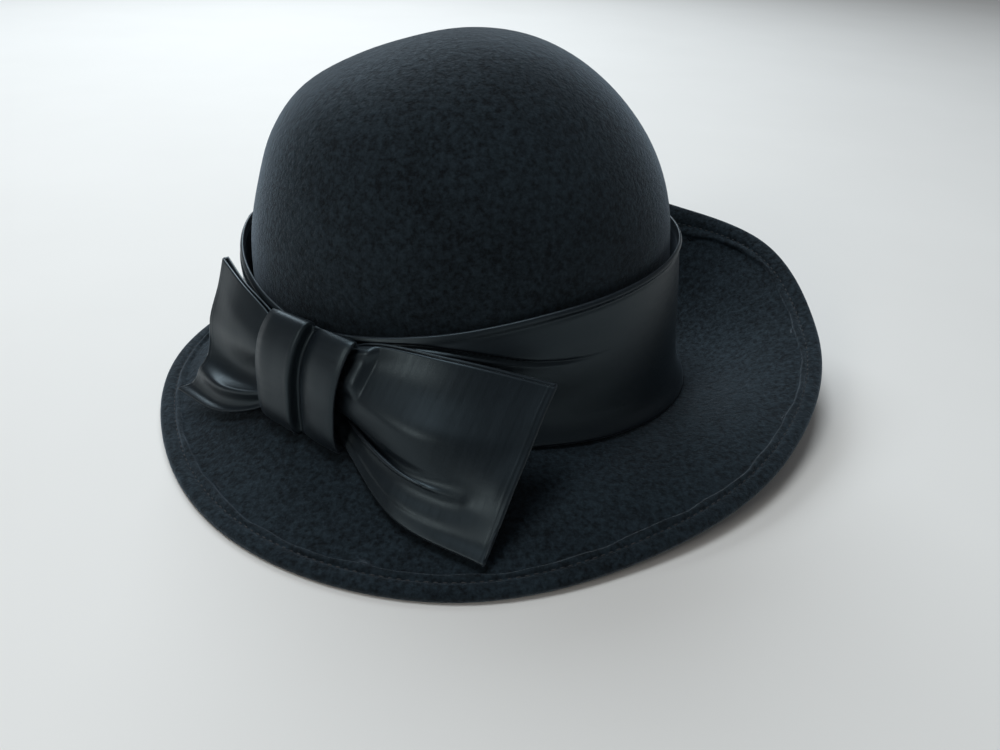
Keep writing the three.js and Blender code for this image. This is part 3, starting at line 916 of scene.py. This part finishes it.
# %% [markdown]
# ## The knot
# The knot is a strap of the same ribbon, laid over the wings in two pleats, the left one lapping over the
# right, and tucked in behind its top and under its foot. Stations along the strap give its path and width,
# and a pleat table across it gives the lap.

# %% Knot
KNOT_WALL = 1.2
knot_stations = table(
    "left right out up tuck",
    [
        (-18, 26, 7.2, 63.2, 0),
        (-19.5, 27, 8.4, 65.8, 0.4),
        (-20.5, 27, 11, 64.8, 1),
        (-22, 26, 16.5, 57, 1),
        (-22, 25, 20.5, 46, 1),
        (-21, 25, 22.5, 35, 1),
        (-19.5, 26, 24, 25, 1),
        (-18, 27, 23, 19.4, 0.4),
        (-17, 26, 17.5, 18.4, 0),
    ],
)
knot_pleat = table(
    "share rise",
    [
        (0.0, -0.9),
        (0.1, 0.7),
        (0.28, 1.5),
        (0.42, 2.1),
        (0.475, 2.2),
        (0.492, 1.4),
        (0.505, -2.2),
        (0.54, -2.4),
        (0.60, -1.1),
        (0.72, 0.3),
        (0.88, 1.0),
        (0.96, 1.0),
        (1.0, 0.5),
    ],
)
KNOT_ALONG, KNOT_ACROSS = 72, 150
path = np.stack([(knot_stations["left"] + knot_stations["right"]) / 2, knot_stations["out"], knot_stations["up"]], -1)
size = np.stack([knot_stations["right"] - knot_stations["left"], knot_stations["tuck"], 0 * knot_stations["up"]], -1)
path, size = through(path, KNOT_ALONG), through(size, KNOT_ALONG)
heading = unit(np.gradient(path, axis=0))
across = np.linspace(0, 1, KNOT_ACROSS)
pleat = follow(knot_pleat["share"], knot_pleat["rise"], across)[None, :] * size[:, 1:2]
knot_along = path[:, :1] + (across[None, :] - 0.5) * size[:, :1]
knot_out = path[:, 1:2] - heading[:, 2:3] * pleat
knot_up = path[:, 2:3] + heading[:, 1:2] * pleat
knot_grid = on_bow(knot_along, knot_out, knot_up)
bow_knot = cloth_piece("bow_pleated_knot", knot_grid, 0.0, KNOT_WALL, False, satin)

# %% [markdown]
# ## Hang each piece on the body
# Every piece rides on the hat's one body and takes the place of an imported piece, which is hidden. The ribbon
# pieces are sheets: the band once round the crown, each wing as the ribbon that goes out and back, the knot as
# a short strap.

# %% Riding and replacing
pieces = [
    (felt_body, "felt_body", "felt"),
    (satin_band, "satin_band", "satin"),
    (bow_right, "bow_wing_right", "satin"),
    (bow_left, "bow_wing_left", "satin"),
    (bow_knot, "bow_knot", "satin"),
]
for piece, node, finish in pieces:
    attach(piece, "root")
    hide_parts(node)
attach(hem_stitches, "root")

# %% [markdown]
# ## Floor and soft light
# A plain pale floor and a few large soft lights, as in a daylight studio. The widest one hangs behind and
# above the hat, like a tall window, so light skims the felt's nap and runs down the folds of the satin.

# %% Floor
floor_mesh = bpy.data.meshes.new("pale_floor")
reach = 12.0
floor_mesh.from_pydata([(-reach, -reach, 0), (reach, -reach, 0), (reach, reach, 0), (-reach, reach, 0)], [],
                       [(0, 1, 2, 3)])
floor = bpy.data.objects.new("pale_floor", floor_mesh)
bpy.context.collection.objects.link(floor)
paper, paper_tree, paper_shader, paper_place = new_material("pale_paper")
grain = noise_node(paper_tree, paper_place.outputs["Object"], 6.0, 3.0)
paper_tree.links.new(colour_mix(paper_tree, grain, (0.80, 0.775, 0.74, 1), (0.85, 0.825, 0.79, 1)),
                     paper_shader.inputs["Base Color"])
paper_shader.inputs["Roughness"].default_value = 0.75
floor_mesh.materials.append(paper)

# %% Lights
def soft_light(name, place, towards, size, power, colour):
    light = bpy.data.lights.new(name, "AREA")
    light.shape = "RECTANGLE"
    light.size, light.size_y = size
    light.energy = power
    light.color = colour
    lamp = bpy.data.objects.new(name, light)
    bpy.context.collection.objects.link(lamp)
    back = unit(np.array(place, dtype=float) - np.array(towards, dtype=float))
    side = unit(np.cross((0, 0, 1), back))
    over_axis = np.cross(back, side)
    lamp.matrix_world = Matrix([list(row) for row in zip(side, over_axis, back, place)] + [[0, 0, 0, 1]])
    return lamp


soft_light("window", (-0.55, 1.5, 1.35), (0, 0, 0.08), (1.5, 0.9), 30, (0.84, 0.93, 1.0))
soft_light("skylight", (-0.30, 0.05, 1.6), (0, 0, 0), (0.6, 0.6), 11, (0.88, 0.95, 1.0))
soft_light("room", (-1.1, -1.2, 0.9), (0, 0, 0.06), (0.5, 0.5), 5, (1.0, 0.96, 0.90))
world = bpy.data.worlds.new("studio_air")
world.use_nodes = True
world.node_tree.nodes["Background"].inputs["Color"].default_value = (0.93, 0.96, 1.0, 1)
world.node_tree.nodes["Background"].inputs["Strength"].default_value = 0.14
bpy.context.scene.world = world
bpy.context.scene.view_settings.view_transform = "Standard"
